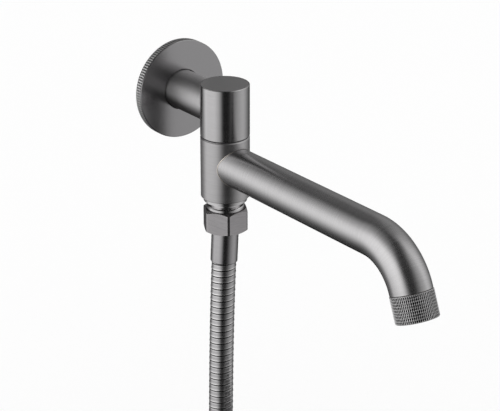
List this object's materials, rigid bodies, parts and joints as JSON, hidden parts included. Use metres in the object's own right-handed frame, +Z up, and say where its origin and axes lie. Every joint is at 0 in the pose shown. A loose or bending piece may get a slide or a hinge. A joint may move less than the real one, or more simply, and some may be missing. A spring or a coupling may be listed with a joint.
{
  "type": "wall bath spout with hand-shower hose",
  "caption": "Wall-held swivelling bath spout on a round column, with a knurled shut-off collar at its tip and a ribbed hand-shower hose at its foot.",
  "frame": {"origin": "centre of the wall flange's back face, on the arm's axis, in the plane of the wall", "axes": "+Y runs along the arm into the wall, +Z up along the column, and the spout points along -Y"},
  "size_m": [0.0896, 0.23, 0.3611],
  "materials": {
    "gunmetal": "brushed gunmetal, satin",
    "knurled_gunmetal": "knurled gunmetal",
    "dark_steel": "wound steel strip, satin",
    "brass": "machined",
    "spring_steel": "plain",
    "seal_rubber": "smooth",
    "foam": "closed-cell foam",
    "white_plastic": "moulded acetal",
    "dark_plastic": "moulded",
    "ceramic": "lapped ceramic"
  },
  "bodies": {
    "wall_side": {"inlet_arm": "gunmetal", "head_shell": "gunmetal", "head_cap": "gunmetal", "head_cap_oring": "seal_rubber", "thrust_washer": "white_plastic"},
    "flange": {"wall_flange": "gunmetal", "flange_oring": "seal_rubber", "flange_gasket": "foam"},
    "swivel": {"lower_body": "gunmetal", "glide_ring": "dark_plastic", "swivel_spigot": "brass", "swivel_oring_upper": "seal_rubber", "swivel_oring_lower": "seal_rubber", "retaining_clip": "spring_steel", "spout_tube": "gunmetal", "outlet_nipple": "gunmetal", "check_valve_body": "white_plastic", "check_valve_seal": "seal_rubber", "check_spring": "spring_steel", "hose_washer": "seal_rubber", "hose_nut": "gunmetal", "hose_tailpiece": "brass", "hose_ferrule": "gunmetal", "hose_free": "dark_steel", "hose_coil": "dark_steel", "coil_tie_upper": "dark_plastic", "coil_tie_lower": "dark_plastic", "end_ferrule": "gunmetal", "end_tailpiece": "brass", "handset_washer": "seal_rubber", "tip_sleeve": "brass", "tip_oring": "seal_rubber", "collar_clip": "spring_steel", "fixed_disc": "ceramic"},
    "collar": {"spout_collar": "knurled_gunmetal", "disc_carrier": "brass", "turning_disc": "ceramic", "aerator_washer": "seal_rubber", "aerator_body": "gunmetal", "aerator_screen": "dark_plastic"},
    "poppet": {"check_poppet": "dark_plastic"},
    "handset_nut": {"handset_nut": "gunmetal"}
  },
  "joints": [
    {"name": "spout_swivel", "type": "hinge", "parent": "wall_side", "child": "swivel", "pos_m": [0, -0.0448, 0], "axis": [0, 0, 1], "range_deg": [-90, 90]},
    {"name": "collar_turn", "type": "hinge", "parent": "swivel", "child": "collar", "pos_m": [0, -0.19939, -0.05106], "axis": [0, -0.3746, -0.9272], "range_deg": [0, 90]},
    {"name": "flange_slide", "type": "slide", "parent": "wall_side", "child": "flange", "axis": [0, -1, 0], "range_m": [0, 0.022]},
    {"name": "poppet_lift", "type": "slide", "parent": "swivel", "child": "poppet", "axis": [0, 0, -1], "range_m": [0, 0.0024], "stiffness_N_per_m": 100, "springref_m": -0.004, "deforming": ["check_spring"]},
    {"name": "handset_nut_spin", "type": "hinge", "parent": "swivel", "child": "handset_nut", "pos_m": [0.04853, -0.0448, -0.27975], "axis": [0.0572, 0, -0.9984], "continuous": true}
  ]
}
